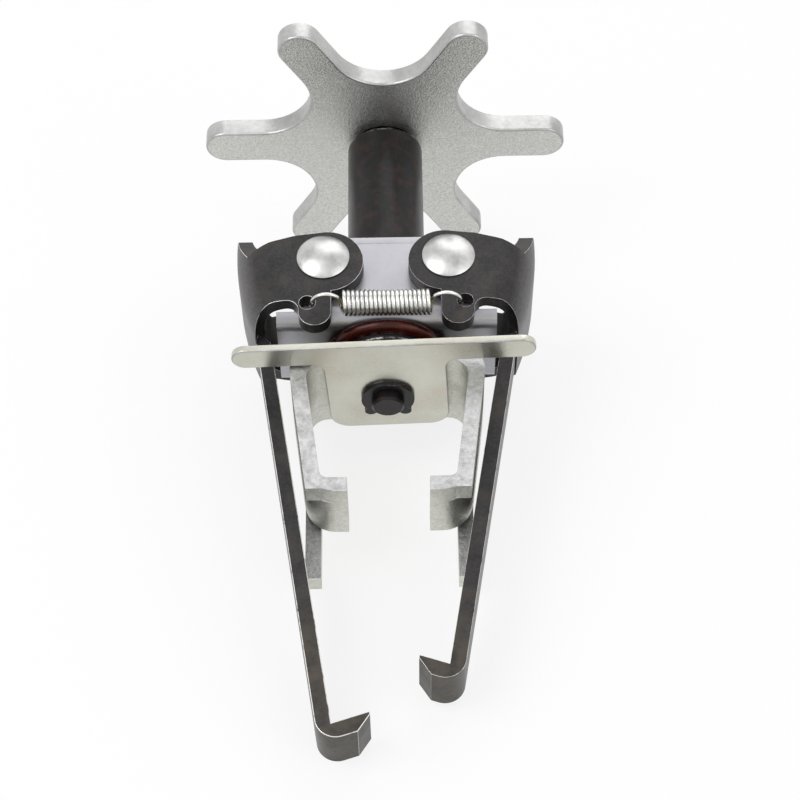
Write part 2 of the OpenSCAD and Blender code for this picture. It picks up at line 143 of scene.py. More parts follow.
@dataclass(frozen=True)
class Finish:
    """One surface finish: two tones, their mixing scale, and how rough and bumpy it is.

    Colours are linear, scales are in features per metre and bump is in metres.
    """

    name: str
    tone: Colour
    second: Colour
    metallic: float
    rough: tuple[float, float]
    cloud_scale: float
    grain_scale: float
    bump: float
    grain: Grain = Grain.EVEN
    grain_mix: float = 0.35
    specular: float = 0.5
    stain: Optional[Stain] = None
    # painted light on a jaw's outward flank, and a worn tint on its hooked end
    rub: Optional[Rub] = None


@dataclass(frozen=True)
class Wear:
    """Bright metal showing in patches through a darker finish along its edges.

    Metal shows where a noise is over the level, with a soft border to each side of it.
    """

    name: str
    bare: Colour
    cover: Colour
    level: float
    patch_scale: float
    rough: float
    border: float = 0.07
    metallic: float = 0.85
    bump: float = 0.03 * MM


ZINC_STAR = Finish(
    "zinc_star", (0.49, 0.492, 0.466), (0.74, 0.743, 0.708), metallic=1.0, rough=(0.32, 0.48),
    cloud_scale=60, grain_scale=2400, bump=0.14 * MM, grain_mix=0.8)
ZINC_RIM = Finish(
    "zinc_rim", (0.36, 0.363, 0.356), (0.54, 0.543, 0.533), metallic=1.0, rough=(0.28, 0.42),
    cloud_scale=120, grain_scale=900, bump=0.04 * MM)
ZINC_SHEET = Finish(
    "zinc_sheet", (0.36, 0.36, 0.385), (0.44, 0.44, 0.465), metallic=1.0, rough=(0.3, 0.42),
    cloud_scale=70, grain_scale=900, bump=0.01 * MM, grain_mix=0.15)
FORK_PLATE = Finish(
    "fork_plate", (0.54, 0.54, 0.49), (0.78, 0.785, 0.72), metallic=1.0, rough=(0.38, 0.54),
    cloud_scale=110, grain_scale=1300, bump=0.1 * MM, grain_mix=0.5,
    stain=Stain((0.36, 0.35, 0.3), scale=120, cover=0.4))
FORK_SHEAR = Finish(
    "fork_shear", (0.36, 0.363, 0.36), (0.6, 0.603, 0.6), metallic=1.0, rough=(0.32, 0.5),
    cloud_scale=420, grain_scale=1100, bump=0.12 * MM, grain_mix=0.5)
WING_SATIN = Finish(
    "wing_satin", (0.54, 0.535, 0.46), (0.65, 0.645, 0.57), metallic=1.0, rough=(0.22, 0.34),
    cloud_scale=90, grain_scale=1600, bump=0.012 * MM, grain_mix=0.2,
    stain=Stain((0.46, 0.39, 0.3), scale=60, cover=0.5))
RIVET_SATIN = Finish(
    "rivet_satin", (0.42, 0.423, 0.41), (0.62, 0.623, 0.61), metallic=1.0, rough=(0.26, 0.4),
    cloud_scale=330, grain_scale=1400, bump=0.01 * MM, grain_mix=0.2)
# Jaw tones: the flank tone is painted light on the side that looks outward, the tip tone a brown worn tint on
# the hooks.
JAW_LIT_FLANK_WORN_TIP = Rub(flank=(0.16, 0.155, 0.16), tip=(0.072, 0.061, 0.047))
JAW_BLACK = Finish(
    "jaw_black", (0.009, 0.0083, 0.009), (0.036, 0.033, 0.035), metallic=0.4, rough=(0.36, 0.5),
    cloud_scale=160, grain_scale=1500, bump=0.05 * MM, grain_mix=0.5,
    stain=Stain((0.06, 0.05, 0.04), scale=150, cover=0.5))
OXIDE_BLACK = Finish(
    "oxide_black", (0.007, 0.0062, 0.0068), (0.017, 0.0152, 0.0165), metallic=0.5, rough=(0.26, 0.4),
    cloud_scale=140, grain_scale=1500, bump=0.02 * MM, grain=Grain.BRUSHED,
    stain=Stain((0.07, 0.03, 0.022), scale=420, cover=0.35))
RING_BROWN = Finish(
    "ring_brown", (0.012, 0.0014, 0.0008), (0.075, 0.009, 0.004), metallic=0.1, rough=(0.16, 0.3),
    cloud_scale=150, grain_scale=900, bump=0.02 * MM, specular=0.3)
SPRING_BRIGHT = Finish(
    "spring_bright", (0.6, 0.6, 0.59), (0.82, 0.815, 0.79), metallic=1.0, rough=(0.16, 0.28),
    cloud_scale=240, grain_scale=1500, bump=0.006 * MM, grain_mix=0.15)
SPRING_WARM = Finish(
    "spring_warm", (0.6, 0.48, 0.2), (0.82, 0.75, 0.48), metallic=1.0, rough=(0.2, 0.32),
    cloud_scale=300, grain_scale=1500, bump=0.006 * MM, grain_mix=0.15)
JAW_WEAR = Wear(
    "jaw_wear", (0.74, 0.72, 0.69), (0.05, 0.047, 0.05), level=0.3825, patch_scale=380, rough=0.3)
OXIDE_WEAR = Wear(
    "oxide_wear", (0.4, 0.4, 0.4), (0.022, 0.02, 0.022), level=0.5625, patch_scale=600, rough=0.32)


class SurfaceTree:
    """A new material's nodes, with the few patterns that the finishes share."""

    def __init__(self, name: str) -> None:
        """Opens the material.

        Args:
            name: the material's name.
        """
        self.material = bpy.data.materials.new(name)
        self.material.use_nodes = True
        self._tree = self.material.node_tree
        self._shader = self._tree.nodes["Principled BSDF"]
        coords = self._tree.nodes.new("ShaderNodeTexCoord")
        self.place: Socket = coords.outputs["Object"]
        self.normal: Socket = coords.outputs["Normal"]

    def set_value(self, socket: str, value: float) -> None:
        """Sets one of the shader's values, the same all over the surface."""
        self._shader.inputs[socket].default_value = value

    def feed(self, socket: str, source: Socket) -> None:
        """Links a source to one of the shader's sockets."""
        self._tree.links.new(source, self._shader.inputs[socket])

    def stretched(self) -> Socket:
        """Stretches the surface's coordinates along the tool, for brushed grain.

        Returns:
            The stretched coordinates.
        """
        node = self._tree.nodes.new("ShaderNodeMapping")
        node.inputs["Scale"].default_value = BRUSH_STRETCH
        self._tree.links.new(self.place, node.inputs["Vector"])
        return node.outputs["Vector"]

    def noise(self, source: Socket, scale: float, detail: float, rough: float = 0.55) -> Socket:
        """Adds a noise texture.

        Args:
            source: the coordinates to read.
            scale: features per metre.
            detail: octaves of finer noise.
            rough: weight of the finer octaves.

        Returns:
            The noise's value.
        """
        node = self._tree.nodes.new("ShaderNodeTexNoise")
        node.inputs["Scale"].default_value = scale
        node.inputs["Detail"].default_value = detail
        node.inputs["Roughness"].default_value = rough
        self._tree.links.new(source, node.inputs["Vector"])
        return node.outputs["Fac"]

    def span(self, source: Socket, reads: tuple[float, float],
             gives: tuple[float, float] = (0.0, 1.0)) -> Socket:
        """Maps a value from one range to another.

        Args:
            source: the value to map.
            reads: the range read.
            gives: the range given.

        Returns:
            The mapped value.
        """
        node = self._tree.nodes.new("ShaderNodeMapRange")
        node.inputs["From Min"].default_value, node.inputs["From Max"].default_value = reads
        node.inputs["To Min"].default_value, node.inputs["To Max"].default_value = gives
        self._tree.links.new(source, node.inputs["Value"])
        return node.outputs["Result"]

    def part(self, source: Socket, axis: str) -> Socket:
        """Takes one component of a vector.

        Args:
            source: the vector.
            axis: X, Y or Z.

        Returns:
            The component.
        """
        node = self._tree.nodes.new("ShaderNodeSeparateXYZ")
        self._tree.links.new(source, node.inputs["Vector"])
        return node.outputs[axis]

    def product(self, first: Socket, second: Socket) -> Socket:
        """Multiplies two values.

        Args:
            first: one value.
            second: the other value.

        Returns:
            The product.
        """
        node = self._tree.nodes.new("ShaderNodeMath")
        node.operation = "MULTIPLY"
        self._tree.links.new(first, node.inputs[0])
        self._tree.links.new(second, node.inputs[1])
        return node.outputs["Value"]

    def blend(self, share: float, first: Socket, second: Socket) -> Socket:
        """Mixes two values.

        Args:
            share: how much of the second value counts, the same all over the surface.
            first: the first value.
            second: the second value.

        Returns:
            The mixed value.
        """
        node = self._tree.nodes.new("ShaderNodeMix")
        node.inputs["Factor"].default_value = share
        self._tree.links.new(first, node.inputs["A"])
        self._tree.links.new(second, node.inputs["B"])
        return node.outputs["Result"]

    def mix(self, factor: Socket, first: Colour | Socket, second: Colour) -> Socket:
        """Mixes two colours.

        Args:
            factor: how much of the second colour shows.
            first: the first colour, linear, or the socket that gives it.
            second: the second colour, linear.

        Returns:
            The mixed colour.
        """
        node = self._tree.nodes.new("ShaderNodeMix")
        node.data_type = "RGBA"
        if isinstance(first, Socket):
            self._tree.links.new(first, node.inputs["A"])
        else:
            node.inputs["A"].default_value = (*first, 1.0)
        node.inputs["B"].default_value = (*second, 1.0)
        self._tree.links.new(factor, node.inputs["Factor"])
        return node.outputs["Result"]

    def bump(self, height: Socket, depth: float) -> None:
        """Roughens the surface.

        Args:
            height: the value that gives the relief.
            depth: the relief's depth in metres.
        """
        node = self._tree.nodes.new("ShaderNodeBump")
        node.inputs["Distance"].default_value = depth
        node.inputs["Strength"].default_value = 1.0
        self._tree.links.new(height, node.inputs["Height"])
        self.feed("Normal", node.outputs["Normal"])


class MaterialShop:
    """Makes each finish's node material once and hands it out by name."""

    def __init__(self) -> None:
        """Starts with no materials made."""
        self._made: dict[str, bpy.types.Material] = {}

    def finish(self, finish: Finish) -> bpy.types.Material:
        """Gives the material of a plain finish.

        Args:
            finish: the finish wanted.

        Returns:
            The material, made on first use.
        """
        if finish.name not in self._made:
            self._made[finish.name] = self._make_finish(finish)
        return self._made[finish.name]

    def wear(self, wear: Wear) -> bpy.types.Material:
        """Gives the material of a worn edge.

        Args:
            wear: the wear wanted.

        Returns:
            The material, made on first use.
        """
        if wear.name not in self._made:
            self._made[wear.name] = self._make_wear(wear)
        return self._made[wear.name]

    def _make_finish(self, finish: Finish) -> bpy.types.Material:
        """Builds the node tree of a plain finish: cloudy tones, fine grain, uneven gloss.

        Args:
            finish: the finish to build.

        Returns:
            The new material.
        """
        surface = SurfaceTree(finish.name)
        cloud = surface.noise(surface.place, finish.cloud_scale, detail=4.0)
        run = surface.stretched() if finish.grain is Grain.BRUSHED else surface.place
        grain = surface.noise(run, finish.grain_scale, detail=3.0, rough=0.7)
        texture = surface.blend(finish.grain_mix, cloud, grain)
        colour = surface.mix(surface.span(texture, NOISE_SPAN), finish.tone, finish.second)
        if finish.stain is not None:
            patches = surface.noise(surface.place, finish.stain.scale, detail=2.0)
            cover = surface.span(patches, STAIN_SPAN, (0.0, finish.stain.cover))
            colour = surface.mix(cover, colour, finish.stain.tone)
        # painted light on a jaw's outward flank, and a worn tint on its hooked end
        if finish.rub is not None:
            colour = self._rub(surface, finish.rub, colour, texture)
        surface.feed("Base Color", colour)
        surface.feed("Roughness", surface.span(cloud, GLOSS_SPAN, finish.rough))
        surface.set_value("Metallic", finish.metallic)
        surface.set_value("Specular IOR Level", finish.specular)
        surface.bump(grain, finish.bump)
        return surface.material

    @staticmethod
    def _rub(surface: SurfaceTree, rub: Rub, colour: Socket, texture: Socket) -> Socket:
        """Paints light onto a jaw's outward flank, as painted shading, and a worn tint onto its hooked end.

        Args:
            surface: the jaw's material.
            rub: where the flank's painted light and the end's worn tint go, and their tones.
            colour: the colour so far.
            texture: the finish's cloud and grain, which make the flank uneven.

        Returns:
            The colour with the painted flank light and the worn end.
        """
        # painted light: faces whose normal looks outward along X are lightened, unevenly
        looks = surface.part(surface.normal, "X")
        side = surface.span(looks, (rub.flank_from * rub.outward, rub.outward))
        uneven = surface.span(texture, NOISE_SPAN, (rub.flank_least, 1.0))
        colour = surface.mix(surface.product(side, uneven), colour, rub.flank)
        near_end = surface.span(surface.part(surface.place, "Y"), rub.tip_span, (0.0, rub.tip_cover))
        patches = surface.noise(surface.place, rub.mottle_scale, detail=5.0, rough=0.7)
        mottled = surface.span(patches, rub.mottle_span, (rub.tip_least, 1.0))
        return surface.mix(surface.product(near_end, mottled), colour, rub.tip)

    @staticmethod
    def _make_wear(wear: Wear) -> bpy.types.Material:
        """Builds the node tree of a worn edge: patches of bare metal in the cover.

        Args:
            wear: the wear to build.

        Returns:
            The new material.
        """
        surface = SurfaceTree(wear.name)
        patches = surface.noise(surface.place, wear.patch_scale, detail=3.0, rough=0.6)
        bare = surface.span(patches, (wear.level - wear.border, wear.level + wear.border))
        surface.feed("Base Color", surface.mix(bare, wear.cover, wear.bare))
        surface.set_value("Metallic", wear.metallic)
        surface.set_value("Roughness", wear.rough)
        surface.bump(patches, wear.bump)
        return surface.material


@dataclass
class Tool:
    """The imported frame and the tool's own axes in it.

    The tool's axes are X across the jaws, Y from front to back and Z along the screw to the star.
    Its zero is midway between the jaw pivots.
    """

    frame: dict
    zero: Vector = field(init=False)
    across: Vector = field(init=False)
    back: Vector = field(init=False)
    axis: Vector = field(init=False)

    def __post_init__(self) -> None:
        """Works out the tool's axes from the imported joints."""
        joints = {joint["name"]: joint for joint in self.frame["record"]["behaviour"]["joints"]}
        left = Vector(joints["left_jaw_swing"]["pos_m"])
        right = Vector(joints["right_jaw_swing"]["pos_m"])
        self.zero = (left + right) / 2
        self.back = Vector(joints["left_jaw_swing"]["axis"]).normalized()
        self.axis = Vector(joints["star_turn"]["axis"]).normalized()
        self.across = self.back.cross(self.axis).normalized()

    def place(self, x: float, y: float, z: float) -> Vector:
        """Gives a tool-frame point, in metres across, back and along the axis, in the part's frame."""
        return self.zero + self.turn(x, y, z)

    def turn(self, x: float, y: float, z: float) -> Vector:
        """Gives a tool-frame direction in the part's frame, of the same length."""
        return self.across * x + self.back * y + self.axis * z

    def local(self, direction: Vector) -> Vector:
        """Gives a direction of the part's frame along the tool's own axes."""
        return Vector((direction.dot(self.across), direction.dot(self.back), direction.dot(self.axis)))


FaceRule = Callable[[Vector], int]
EdgeRule = Callable[[Vector, Vector], float]
Reshape = Callable[[bmesh.types.BMesh, Tool], None]


def add_object(name: str, data: bpy.types.ID) -> bpy.types.Object:
    """Makes an object and links it to the scene.

    Args:
        name: the object's name.
        data: its mesh, light or camera.

    Returns:
        The new object.
    """
    made = bpy.data.objects.new(name, data)
    bpy.context.scene.collection.objects.link(made)
    return made


def skin_rings(name: str, rings: Sequence[Sequence[Vector]]) -> bpy.types.Mesh:
    """Joins rings of points into a closed tube with smooth sides and flat ends.

    Args:
        name: the mesh's name.
        rings: the points of each ring along the tube, as many in one ring as in the next.

    Returns:
        The mesh, whose faces follow the rings, with the two ends last.
    """
    work = bmesh.new()
    loops = [[work.verts.new(point) for point in ring] for ring in rings]
    for first, second in zip(loops, loops[1:]):
        for corner in range(len(first)):
            following = (corner + 1) % len(first)
            work.faces.new((first[corner], first[following], second[following], second[corner]))
    work.faces.new(reversed(loops[0]))
    work.faces.new(loops[-1])
    bmesh.ops.recalc_face_normals(work, faces=work.faces)
    for face in work.faces:
        face.smooth = True
    mesh = bpy.data.meshes.new(name)
    work.to_mesh(mesh)
    work.free()
    return mesh


@dataclass
class DressedPiece:
    """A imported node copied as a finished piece: clean faces, worn round edges and its materials.

    A face rule picks a face's material from its normal, an edge rule gives an edge's share of the edge width
    from its middle and its direction, and a reshape moves the mesh's points. All use the tool's own axes.
    """

    node: str
    body: str
    slot: str
    materials: Sequence[bpy.types.Material]
    edge: Optional[bpy.types.Material] = None
    edge_width: float = 0.25 * MM
    edge_segments: int = 2
    face_rule: Optional[FaceRule] = None
    edge_rule: Optional[EdgeRule] = None
    reshape: Optional[Reshape] = None

    def build(self, tool: Tool) -> None:
        """Copies the node, rounds its edges, dresses it and puts it on its body.

        Args:
            tool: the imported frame.
        """
        mesh = tool.frame["nodes"][self.node].data.copy()
        mesh.name = f"{self.node}_finished"
        mesh.materials.clear()
        for material in self.materials:
            mesh.materials.append(material)
        if self.edge is not None:
            mesh.materials.append(self.edge)
        self._clean(mesh, tool)
        piece = add_object(f"{self.node}_finished", mesh)
        self._round_edges(piece)
        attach(piece, self.body)
        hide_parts(self.node)
        LOG.info("%s rides on %s", piece.name, self.body)

    def _clean(self, mesh: bpy.types.Mesh, tool: Tool) -> None:
        """Joins split corners, merges flat faces and sorts faces into materials.

        Args:
            mesh: the mesh to clean.
            tool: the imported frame.
        """
        work = bmesh.new()
        work.from_mesh(mesh)
        bmesh.ops.remove_doubles(work, verts=work.verts, dist=MERGE_GAP)
        bmesh.ops.dissolve_limit(work, angle_limit=FLAT_ANGLE, verts=work.verts, edges=work.edges)
        if self.reshape is not None:
            self.reshape(work, tool)
        bmesh.ops.recalc_face_normals(work, faces=work.faces)
        for face in work.faces:
            face.smooth = True
            face.material_index = self.face_rule(tool.local(face.normal)) if self.face_rule else 0
        if self.edge_rule is not None:
            self._weigh_edges(work, tool)
        work.to_mesh(mesh)
        work.free()
        if mesh.has_custom_normals:
            mesh.attributes.remove(mesh.attributes["custom_normal"])
        mesh.set_sharp_from_angle(angle=SHARP_ANGLE)

    def _weigh_edges(self, work: bmesh.types.BMesh, tool: Tool) -> None:
        """Notes each sharp edge's share of the edge width.

        Args:
            work: the mesh to note it in.
            tool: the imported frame.
        """
        weight = work.edges.layers.float.new("bevel_weight_edge")
        for edge in work.edges:
            if edge.calc_face_angle(0.0) > SHARP_ANGLE:
                start, end = (tool.local(point.co - tool.zero) for point in edge.verts)
                edge[weight] = self.edge_rule((start + end) / 2, (end - start).normalized())

    def _round_edges(self, piece: bpy.types.Object) -> None:
        """Rounds the sharp edges and fixes the result in the mesh.

        Args:
            piece: the piece to round.
        """
        bevel = piece.modifiers.new("edges", "BEVEL")
        bevel.width = self.edge_width
        bevel.segments = self.edge_segments
        bevel.limit_method = "WEIGHT" if self.edge_rule is not None else "ANGLE"
        bevel.angle_limit = SHARP_ANGLE
        bevel.use_clamp_overlap = True
        bevel.miter_outer = "MITER_SHARP"
        if self.edge is not None:
            bevel.material = len(self.materials)
        weighted = piece.modifiers.new("normals", "WEIGHTED_NORMAL")
        weighted.keep_sharp = False
        weighted.weight = NORMAL_WEIGHT
        graph = bpy.context.evaluated_depsgraph_get()
        baked = bpy.data.meshes.new_from_object(piece.evaluated_get(graph))
        piece.modifiers.clear()
        piece.data = baked


@dataclass
class TensionSpring:
    """The coil between the two front ears, in two halves, one toward each jaw.

    The coil's axis lies across the tool, at a depth and a height given from the tool's zero. On its way to
    the hook the wire passes the coil's end at a share of its radius. The ring start is a direction that the
    wire never begins along.
    """

    wire: float = 0.8 * MM
    coil: float = 5.2 * MM
    turns: int = 20
    pitch: float = 0.85 * MM
    axis_y: float = -14.3 * MM
    axis_z: float = -11.2 * MM
    turn_steps: int = 28
    hook_steps: int = 24
    warm_steps: int = 5
    sides: int = 10
    hook_sweep: float = math.radians(195)
    leave_share: float = 0.55
    ring_start: tuple[float, float, float] = (0.31, 0.52, 0.79)

    def build(self, tool: Tool, shop: MaterialShop) -> None:
        """Makes both halves and puts each between the frame and its jaw.

        Args:
            tool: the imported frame.
            shop: where the finishes come from.
        """
        low, high = (Vector(corner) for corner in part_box("tension_spring"))
        centre = tool.place(0.0, self.axis_y, self.axis_z)
        reach = (high.x - low.x) / 2
        for side in Side:
            path = [self._spot(tool, centre, point, side) for point in self._half_path(reach, side)]
            half = self._tube(f"tension_spring_{side.word}_half", path, shop)
            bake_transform(half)
            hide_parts("tension_spring")
            LOG.info("%s blends from frame to %s_jaw_body", half.name, side.word)

    def _half_path(self, reach: float, side: Side) -> list[Vector]:
        """Gives the wire's path from the middle of the coil to one hook's end.

        Args:
            reach: distance from the middle of the coil to the far end of a hook.
            side: which half it is, so that both wind the same way.

        Returns:
            Points in the spring's own axes, with X along the coil.
        """
        radius = (self.coil - self.wire) / 2
        half_turns = self.turns / 2
        path = []
        for step in range(int(half_turns * self.turn_steps) + 1):
            angle = side.value * math.tau * step / self.turn_steps
            along = self.pitch * step / self.turn_steps
            path.append(Vector((along, radius * math.cos(angle), radius * math.sin(angle))))
        start = self.pitch * half_turns + self.wire / 4
        path.append(Vector((start, radius * self.leave_share, 0.0)))
        hook_r = (reach - self.wire / 2 - start) / 2
        for step in range(self.hook_steps + 1):
            angle = self.hook_sweep * step / self.hook_steps
            path.append(Vector((start + hook_r * (1 - math.cos(angle)), -hook_r * math.sin(angle), 0.0)))
        return path

    @staticmethod
    def _spot(tool: Tool, centre: Vector, point: Vector, side: Side) -> Vector:
        """Gives a point of the spring's own axes, on one side of the coil's centre, in the part's frame."""
        return centre + tool.turn(side.value * point.x, point.y, point.z)

    def _tube(self, name: str, path: Sequence[Vector], shop: MaterialShop) -> bpy.types.Object:
        """Sweeps the round wire along a path, with a warm tone where it leaves the coil.

        Args:
            name: the piece's name.
            path: the points to follow.
            shop: where the finishes come from.

        Returns:
            The piece, as a closed mesh.
        """
        rings = []
        last = len(path) - 1
        spoke = Vector(self.ring_start)
        angles = [math.tau * corner / self.sides for corner in range(self.sides)]
        for index, point in enumerate(path):
            head = (path[min(index + 1, last)] - path[max(index - 1, 0)]).normalized()
            spoke = (spoke - head * spoke.dot(head)).normalized()
            over = head.cross(spoke)
            rings.append([point + (spoke * math.cos(angle) + over * math.sin(angle)) * self.wire / 2
                          for angle in angles])
        mesh = skin_rings(name, rings)
        mesh.materials.append(shop.finish(SPRING_BRIGHT))
        mesh.materials.append(shop.finish(SPRING_WARM))
        warm_from = (last - self.hook_steps - 1) * self.sides
        for face in mesh.polygons[warm_from:warm_from + self.warm_steps * self.sides]:
            face.material_index = 1
        return add_object(name, mesh)


@dataclass
class ThreadedScrew:
    """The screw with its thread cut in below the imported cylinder's surface.

    Heights are along the tool's axis from its zero. Only the lower part of the screw is threaded, as the
    rest never leaves the sleeve. The thread's root and flank are shares of half a turn, and it reaches its
    full depth within the run-in, a share of a turn.
    """

    radius: float = 4.5 * MM
    neck: float = 3.2 * MM
    groove: float = 2.5 * MM
    low: float = -26.2 * MM
    clip: tuple[float, float] = (-24.4 * MM, -23.5 * MM)
    shoulder: float = -19.0 * MM
    top: float = 27.0 * MM
    thread_end: float = 3.0 * MM
    lead: float = 2.0 * MM
    depth: float = 0.8 * MM
    root: float = 0.32
    flank: float = 0.4
    run_in: float = 0.4
    chamfer: float = 0.4 * MM
    top_chamfer: float = 1.0 * MM
    columns: int = 48
    rows_per_turn: int = 10

    @property
    def thread_start(self) -> float:
        """The height at which the thread begins, above the shoulder's chamfer."""
        return self.shoulder + self.chamfer / 2

    def build(self, tool: Tool, shop: MaterialShop, body: str) -> None:
        """Makes the screw and puts it on its body.

        Args:
            tool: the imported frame.
            shop: where the finishes come from.
            body: the body it rides on.
        """
        rings = []
        angles = [math.tau * column / self.columns for column in range(self.columns)]
        for height, radius, threaded in self._rows():
            ring = []
            for angle in angles:
                reach = radius - (self._cut(height, angle) if threaded else 0.0)
                ring.append(tool.place(reach * math.cos(angle), reach * math.sin(angle), height))
            rings.append(ring)
        mesh = skin_rings("press_screw_finished", rings)
        mesh.set_sharp_from_angle(angle=SHARP_ANGLE)
        mesh.materials.append(shop.finish(OXIDE_BLACK))
        piece = add_object("press_screw_finished", mesh)
        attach(piece, body)
        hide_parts("press_screw")
        LOG.info("%s rides on %s", piece.name, body)

    def _rows(self) -> list[tuple[float, float, bool]]:
        """Lists the screw's rings from its low end to its top.

        Returns:
            Each ring's height, radius and whether the thread is cut in it.
        """
        below = [
            (self.low, self.neck - self.chamfer),
            (self.low + self.chamfer, self.neck),
            (self.clip[0], self.neck),
            (self.clip[0], self.groove),
            (self.clip[1], self.groove),
            (self.clip[1], self.neck),
            (self.shoulder, self.neck),
            (self.shoulder, self.radius - self.chamfer / 2),
            (self.thread_start, self.radius),
        ]
        above = [
            (self.thread_end, self.radius),
            (self.top - self.top_chamfer, self.radius),
            (self.top, self.radius - self.top_chamfer),
        ]
        count = int((self.thread_end - self.thread_start) / self.lead * self.rows_per_turn)
        rows = [(height, radius, False) for height, radius in below]
        for row in range(1, count):
            rows.append((self.thread_start + self.lead * row / self.rows_per_turn, self.radius, True))
        rows.extend((height, radius, False) for height, radius in above)
        return rows

    def _cut(self, height: float, angle: float) -> float:
        """Gives how deep the thread lies under the screw's surface at a spot.

        Args:
            height: height of the spot along the axis.
            angle: angle of the spot about the axis.

        Returns:
            The depth, which fades out at both ends of the thread.
        """
        turn = (height / self.lead - angle / math.tau) % 1.0
        up_flank = (abs(turn - 0.5) * 2 - self.root) / self.flank
        risen = (height - self.thread_start) / (self.run_in * self.lead)
        fade = min(1.0, risen, (self.thread_end - height) / self.lead)
        return self.depth * min(1.0, max(0.0, 1.0 - up_flank)) * max(0.0, fade)


@dataclass
class HandNut:
    """The star and the long black sleeve that turn together."""

    body: str = "hand_nut"
    star_edge: float = 0.45 * MM
    star_segments: int = 3
    sleeve_edge: float = 0.2 * MM
    broad_from: float = 0.7

    def build(self, tool: Tool, shop: MaterialShop) -> None:
        """Makes the star and the sleeve.

        Args:
            tool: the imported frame.
            shop: where the finishes come from.
        """
        DressedPiece("star_handle", self.body, "zinc_star", [shop.finish(ZINC_STAR), shop.finish(ZINC_RIM)],
                     shop.finish(ZINC_RIM), self.star_edge, self.star_segments,
                     face_rule=self._star_face).build(tool)
        DressedPiece("sleeve_nut", self.body, "black_oxide", [shop.finish(OXIDE_BLACK)],
                     shop.wear(OXIDE_WEAR), self.sleeve_edge).build(tool)

    def _star_face(self, normal: Vector) -> int:
        """Tells the star's broad faces, 0, from its sheared rim, 1."""
        return 0 if abs(normal.z) > self.broad_from else 1


@dataclass
class Carrier:
    """The bracket, its guide plate, the thrust ring and the rivets."""

    body: str = "frame"
    sheet_edge: float = 0.2 * MM
    ring_edge: float = 0.1 * MM
    rivet_edge: float = 0.25 * MM
    rivet_segments: int = 3

    def build(self, tool: Tool, shop: MaterialShop) -> None:
        """Makes the carrier's fixed pieces.

        Args:
            tool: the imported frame.
            shop: where the finishes come from.
        """
        sheet = shop.finish(ZINC_SHEET)
        rim = shop.finish(ZINC_RIM)
        for node in ("carrier_bracket", "top_guide_plate"):
            DressedPiece(node, self.body, "zinc_sheet", [sheet], rim, self.sheet_edge).build(tool)
        DressedPiece("thrust_ring", self.body, "red_brown_ring", [shop.finish(RING_BROWN)], None,
                     self.ring_edge).build(tool)
        for side in Side:
            DressedPiece(f"{side.word}_pivot_rivet", self.body, "bright_rivet", [shop.finish(RIVET_SATIN)],
                         rim, self.rivet_edge, self.rivet_segments).build(tool)


@dataclass
class Jaw:
    """One hooked jaw of folded black sheet.

    Heights are along the tool's axis from its zero. The ears above one height, and the edges across the
    hook's tip below another, get a share of the edge width.
    """

    side: Side
    edge_width: float = 0.5 * MM
    ear_low: float = -17 * MM
    ear_share: float = 0.5
    tip_high: float = -70 * MM
    tip_share: float = 0.25
    across_from: float = 0.9

    def build(self, tool: Tool, shop: MaterialShop) -> None:
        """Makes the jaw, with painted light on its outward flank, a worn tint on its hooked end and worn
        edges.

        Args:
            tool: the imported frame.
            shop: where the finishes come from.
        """
        # the flank tone is painted light on the outward side, the tip tone a worn tint
        rub = replace(JAW_LIT_FLANK_WORN_TIP, outward=self.side.value)
        sheet = replace(JAW_BLACK, name=f"jaw_black_{self.side.word}", rub=rub)
        DressedPiece(f"{self.side.word}_jaw", f"{self.side.word}_jaw_body", "black_jaw", [shop.finish(sheet)],
                     shop.wear(JAW_WEAR), self.edge_width, edge_rule=self._edge_share).build(tool)

    def _edge_share(self, middle: Vector, direction: Vector) -> float:
        """Gives the full edge width along the leg and hook, and less on the ears and across the hook's tip.

        Args:
            middle: the edge's middle.
            direction: the edge's direction.

        Returns:
            The share of the edge width.
        """
        if middle.z > self.ear_low:
            return self.ear_share
        across_tip = middle.z < self.tip_high and abs(direction.y) > self.across_from
        return self.tip_share if across_tip else 1.0


@dataclass
class ForkBends:
    """The bends on the inner side of the fork: wider under the web, tighter above the feet."""

    half_width: float = 19.4 * MM
    top: float = -19.0 * MM
    foot_low: float = -51.0 * MM
    sheet: float = 3.0 * MM
    web_outer: float = 5.0 * MM
    foot_outer: float = 6.0 * MM
    web_inner: float = 3.6 * MM
    foot_inner: float = 1.5 * MM
    lean: float = math.radians(7.3)
    tolerance: float = 0.02 * MM

    def ease(self, work: bmesh.types.BMesh, tool: Tool) -> None:
        """Moves the points of the inner bends to their new radii.

        Args:
            work: the fork's mesh.
            tool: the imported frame.
        """
        bends = ((self.web_outer, self.web_inner, self.top, -1),
                 (self.foot_outer, self.foot_inner, self.foot_low, 1))
        for point in work.verts:
            spot = tool.local(point.co - tool.zero)
            for outer, inner, level, rise in bends:
                spoke = Vector((abs(spot.x), spot.z)) - self._centre(outer, level, rise)
                if abs(spoke.length - (outer - self.sheet)) < self.tolerance:
                    moved = self._centre(self.sheet + inner, level, rise) + spoke.normalized() * inner
                    point.co = tool.place(math.copysign(moved.x, spot.x), spot.y, moved.y)

    def _centre(self, inset: float, level: float, rise: int) -> Vector:
        """Gives a bend's centre in X and Z.

        Args:
            inset: how far it lies inside the right arm's outer face and the level.
            level: height of the outer face that the bend ends on.
            rise: 1 where the centre lies above that face, -1 where it lies below.

        Returns:
            The centre.
        """
        height = level + rise * inset
        reach = self.half_width - inset / math.cos(self.lean) - (self.top - height) * math.tan(self.lean)
        return Vector((reach, height))


